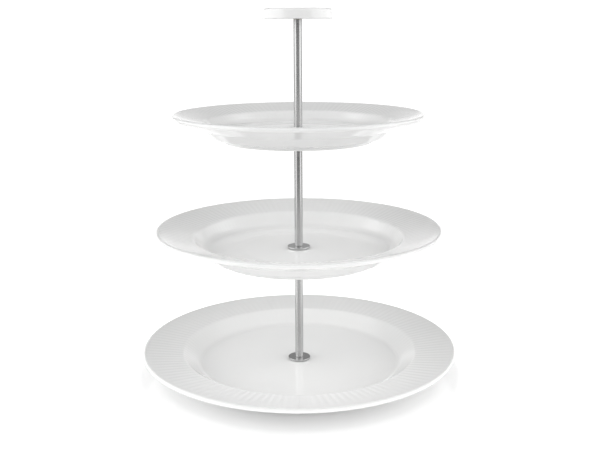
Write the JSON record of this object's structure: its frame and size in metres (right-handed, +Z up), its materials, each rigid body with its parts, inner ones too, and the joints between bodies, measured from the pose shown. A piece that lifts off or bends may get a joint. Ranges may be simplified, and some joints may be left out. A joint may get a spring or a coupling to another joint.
{
  "type": "tiered cake stand",
  "caption": "Free-standing serving stand: round fluted porcelain plates, smaller towards the top, clamped on a thin screwed steel post with a flat round knob.",
  "frame": {"origin": "on the post's axis, at the bottom of the large plate's foot ring", "axes": "+Z up along the post; X and Y are alike, because the stand is a body of revolution"},
  "size_m": [0.28, 0.28, 0.3203],
  "materials": {
    "porcelain": "gloss",
    "rod_steel": "satin",
    "steel": "polished",
    "screw_steel": "satin",
    "brass": "satin",
    "silicone": "matt"
  },
  "bodies": {
    "base": {"large_plate": "porcelain", "base_gasket": "silicone", "base_washer": "steel", "base_screw": "screw_steel", "lower_gasket": "silicone"},
    "lower_flange": {"lower_flange": "steel"},
    "lower_post": {"lower_rod": "rod_steel", "middle_seat_washer": "steel"},
    "middle_seat": {"middle_seat_gasket": "silicone"},
    "medium_tier": {"medium_plate": "porcelain", "middle_gasket": "silicone", "middle_flange": "steel", "middle_rod": "rod_steel", "middle_stud": "screw_steel", "upper_seat_washer": "steel"},
    "upper_seat": {"upper_seat_gasket": "silicone"},
    "small_tier": {"small_plate": "porcelain", "upper_gasket": "silicone", "upper_flange": "steel", "upper_rod": "rod_steel", "upper_stud": "screw_steel"},
    "knob_stud": {"knob_stud": "screw_steel"},
    "knob": {"knob": "porcelain", "knob_insert": "brass"}
  },
  "joints": [
    {"name": "lower_post_rise", "type": "slide", "parent": "base", "child": "lower_flange", "axis": [0, 0, 1], "range_m": [0, 0.0084]},
    {"name": "lower_post_turn", "type": "hinge", "parent": "lower_flange", "child": "lower_post", "pos_m": [0, 0, 0], "axis": [0, 0, 1], "range_deg": [0, 4320]},
    {"name": "medium_tier_rise", "type": "slide", "parent": "lower_post", "child": "middle_seat", "axis": [0, 0, 1], "range_m": [0, 0.0084]},
    {"name": "medium_tier_turn", "type": "hinge", "parent": "middle_seat", "child": "medium_tier", "pos_m": [0, 0, 0], "axis": [0, 0, 1], "range_deg": [0, 4320]},
    {"name": "small_tier_rise", "type": "slide", "parent": "medium_tier", "child": "upper_seat", "axis": [0, 0, 1], "range_m": [0, 0.0084]},
    {"name": "small_tier_turn", "type": "hinge", "parent": "upper_seat", "child": "small_tier", "pos_m": [0, 0, 0], "axis": [0, 0, 1], "range_deg": [0, 4320]},
    {"name": "knob_turn", "type": "hinge", "parent": "small_tier", "child": "knob_stud", "pos_m": [0, 0, 0], "axis": [0, 0, 1], "range_deg": [0, 2520]},
    {"name": "knob_rise", "type": "slide", "parent": "knob_stud", "child": "knob", "axis": [0, 0, 1], "range_m": [0, 0.0049]}
  ],
  "couplings": [
    {"joint": "lower_post_turn", "follows": "lower_post_rise", "rad_per_m": 8976},
    {"joint": "medium_tier_turn", "follows": "medium_tier_rise", "rad_per_m": 8976},
    {"joint": "small_tier_turn", "follows": "small_tier_rise", "rad_per_m": 8976},
    {"joint": "knob_turn", "follows": "knob_rise", "rad_per_m": 8976}
  ]
}
